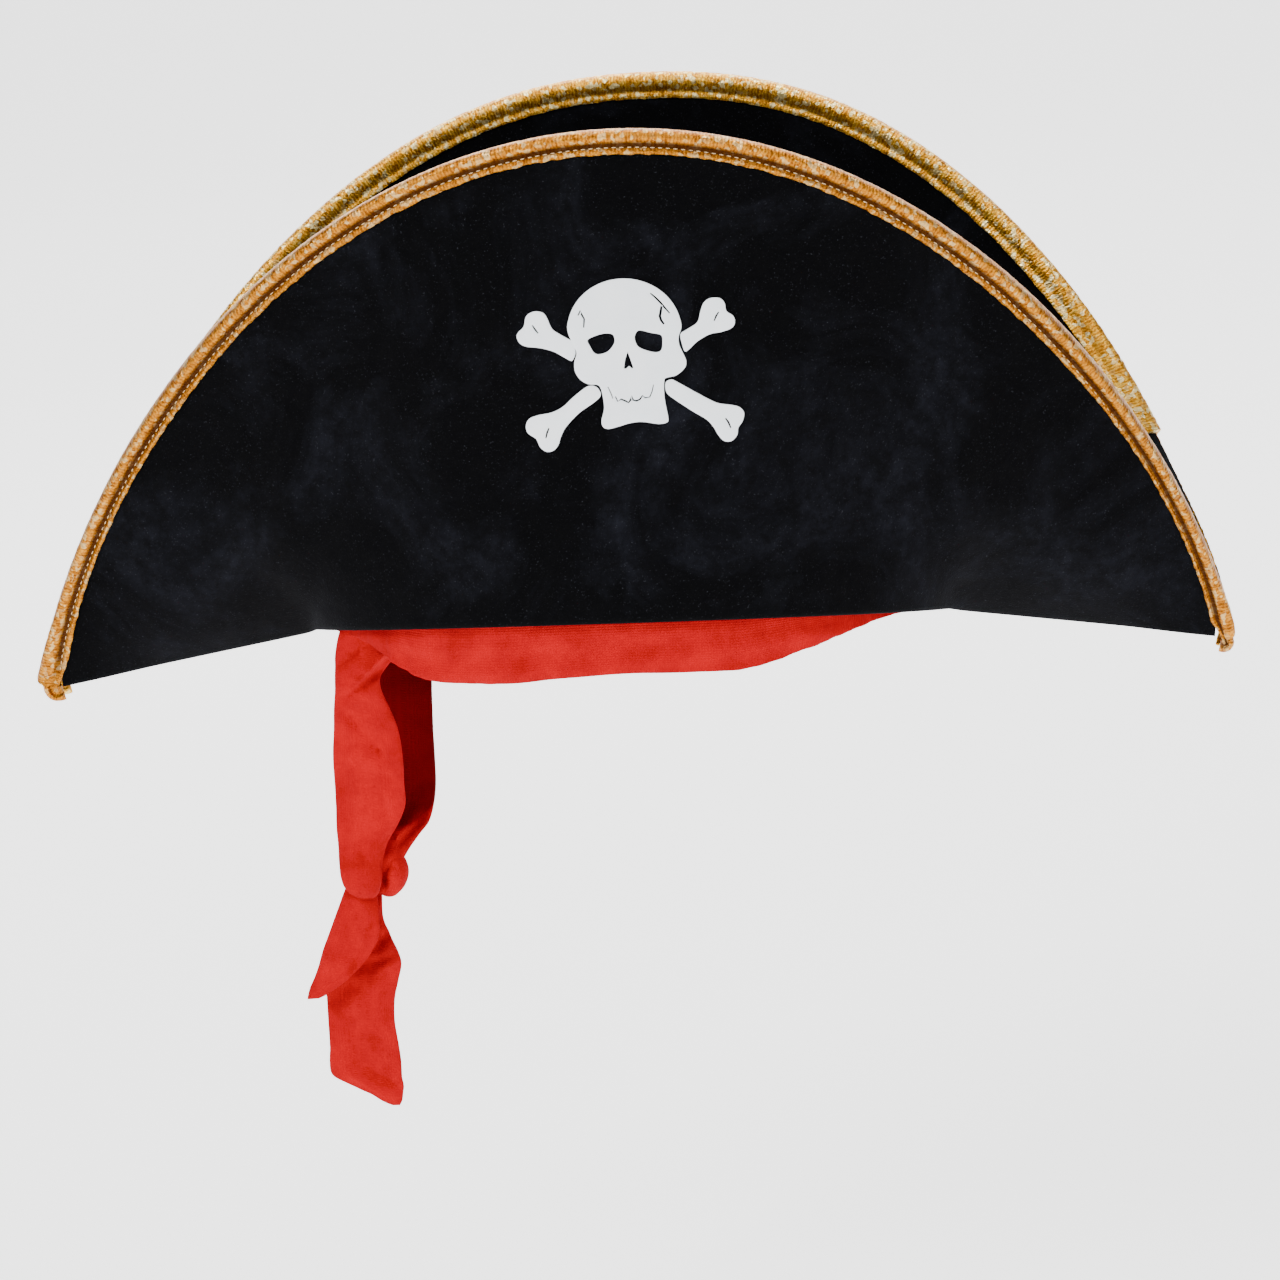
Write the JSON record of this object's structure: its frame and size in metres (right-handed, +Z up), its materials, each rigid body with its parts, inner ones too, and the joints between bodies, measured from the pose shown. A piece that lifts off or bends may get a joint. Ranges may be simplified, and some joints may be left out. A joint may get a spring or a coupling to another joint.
{
  "type": "pirate hat",
  "caption": "Costume bicorn hat: front and back flaps of black velour with gold binding, a soft crown, a white skull print and a red sash knotted at one side.",
  "frame": {"origin": "centre of the head opening, at the height of the rim in the middle of the front", "axes": "+Z up through the crown, -Y out of the printed front flap, +X to the viewer's right from tip to tip"},
  "size_m": [0.46, 0.1856, 0.393],
  "materials": {
    "black_velour": "soft short-pile velour",
    "stiffener_foam": "matt open-cell foam",
    "gold_lame": "crinkled metallic lame",
    "black_lining": "plain woven lining",
    "white_print": "raised rubbery transfer print",
    "red_sash_cloth": "soft crinkled knit"
  },
  "bodies": {
    "hat": {"front_flap_velour_outer": "black_velour", "front_flap_foam": "stiffener_foam", "front_flap_velour_inner": "black_velour", "front_flap_gold_binding": "gold_lame", "back_flap_velour_outer": "black_velour", "back_flap_foam": "stiffener_foam", "back_flap_velour_inner": "black_velour", "back_flap_gold_binding": "gold_lame", "crown_front_panel": "black_velour", "crown_back_panel": "black_velour", "crown_top_panel": "black_velour", "crown_lining": "black_lining", "sweatband": "black_lining", "skull_print": "white_print", "bone_print_upper_left": "white_print", "bone_print_upper_right": "white_print", "bone_print_lower_left": "white_print", "bone_print_lower_right": "white_print", "sash_band": "red_sash_cloth"},
    "tied_sash": {"sash_front_strand": "red_sash_cloth", "sash_back_strand": "red_sash_cloth", "sash_knot": "red_sash_cloth"},
    "short_tail": {"sash_short_tail": "red_sash_cloth"},
    "long_tail": {"sash_long_tail": "red_sash_cloth"}
  },
  "joints": [
    {"name": "sash_swing", "type": "hinge", "parent": "hat", "child": "tied_sash", "pos_m": [-0.1039, -0.006, -0.026], "axis": [0, 1, 0], "range_deg": [-35, 35]},
    {"name": "short_tail_swing", "type": "hinge", "parent": "tied_sash", "child": "short_tail", "pos_m": [-0.114, -0.011, -0.1303], "axis": [0, 1, 0], "range_deg": [-40, 40]},
    {"name": "long_tail_swing", "type": "hinge", "parent": "tied_sash", "child": "long_tail", "pos_m": [-0.1115, -0.003, -0.1303], "axis": [0, 1, 0], "range_deg": [-40, 40]}
  ]
}
